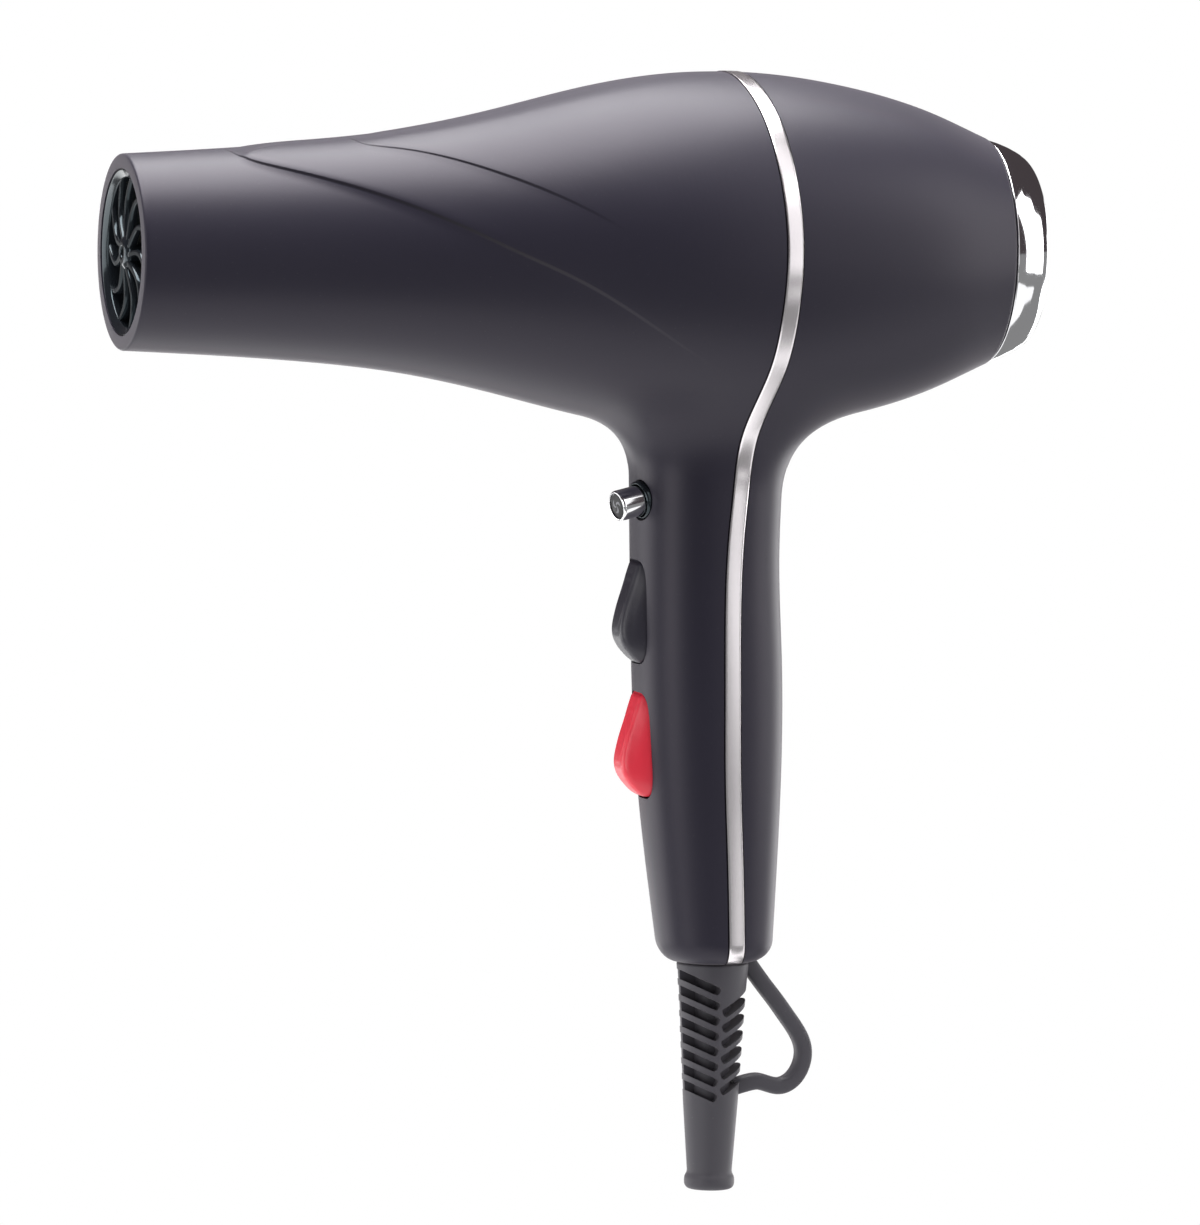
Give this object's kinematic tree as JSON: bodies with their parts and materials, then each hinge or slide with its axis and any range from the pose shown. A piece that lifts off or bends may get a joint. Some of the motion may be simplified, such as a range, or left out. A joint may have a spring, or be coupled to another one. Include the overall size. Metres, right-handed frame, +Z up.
{
  "type": "hair dryer",
  "caption": "Pistol-grip salon hair dryer with a tapering air barrel, rocker switches, a cool-shot button, a removable rear intake cap and a slotted cord sleeve with a hang loop.",
  "frame": {"origin": "middle of the grip, where a hand holds the dryer", "axes": "+Z up along the handle, the barrel lies along X with its air outlet towards -X and its intake towards +X, +Y across the handle"},
  "size_m": [0.2281, 0.0882, 0.2748],
  "materials": {
    "soft_touch_black": "soft-touch matte coating",
    "satin_silver": "satin silver",
    "chrome": "polished chrome",
    "gloss_black": "glossy moulded",
    "black_plastic": "fine moulded",
    "red_plastic": "fine moulded",
    "blue_plastic": "moulded",
    "black_rubber": "matte",
    "mica": "mica board",
    "heating_wire": "oxidised wire",
    "steel": "bright",
    "brass": "plain",
    "lead_brown": "insulation",
    "lead_blue": "insulation"
  },
  "bodies": {
    "housing": {"front_housing": "soft_touch_black", "rear_housing": "soft_touch_black", "trim_band": "satin_silver", "outlet_grille": "gloss_black", "heat_shield": "mica", "heater_board_flat": "mica", "heater_board_upright": "mica", "heating_coil_front": "heating_wire", "heating_coil_rear": "heating_wire", "thermostat": "brass", "thermal_fuse": "steel", "motor": "steel", "fan_shroud": "black_plastic", "button_bezel": "gloss_black", "cool_shot_spring": "steel", "cool_shot_switch": "black_plastic", "switch_carrier": "black_plastic", "heat_switch": "black_plastic", "speed_switch": "black_plastic", "suppression_capacitor": "blue_plastic", "housing_screw_upper": "steel", "housing_screw_lower": "steel", "cord_clamp": "black_plastic", "clamp_screw_left": "steel", "clamp_screw_right": "steel", "lead_live": "lead_brown", "lead_neutral": "lead_blue", "strain_relief": "black_rubber", "hang_loop": "black_rubber"},
    "fan": {"motor_shaft": "steel", "fan_impeller": "black_plastic"},
    "cool_shot": {"cool_shot_button": "chrome", "cool_shot_face": "gloss_black"},
    "heat_rocker": {"heat_rocker": "black_plastic", "heat_rocker_pin": "steel"},
    "speed_rocker": {"speed_rocker": "red_plastic", "speed_rocker_pin": "steel"},
    "filter_cap": {"rear_ring": "chrome", "intake_grille": "black_plastic", "filter_mesh": "steel"}
  },
  "joints": [
    {"name": "fan_spin", "type": "hinge", "parent": "housing", "child": "fan", "pos_m": [0, 0, 0.11], "axis": [1, 0, 0], "continuous": true},
    {"name": "cool_shot_press", "type": "slide", "parent": "housing", "child": "cool_shot", "axis": [0.952, 0.233, 0.1987], "range_m": [0, 0.002], "stiffness_N_per_m": 500, "springref_m": -0.002, "deforming": ["cool_shot_spring"]},
    {"name": "heat_rocker_tilt", "type": "hinge", "parent": "housing", "child": "heat_rocker", "pos_m": [-0.0115, 0, 0.0222], "axis": [0, 1, 0], "range_deg": [-8, 8]},
    {"name": "speed_rocker_tilt", "type": "hinge", "parent": "housing", "child": "speed_rocker", "pos_m": [-0.0105, 0, -0.0103], "axis": [0, 1, 0], "range_deg": [-8, 8]},
    {"name": "filter_cap_pull", "type": "slide", "parent": "housing", "child": "filter_cap", "axis": [1, 0, 0], "range_m": [0, 0.03]}
  ]
}
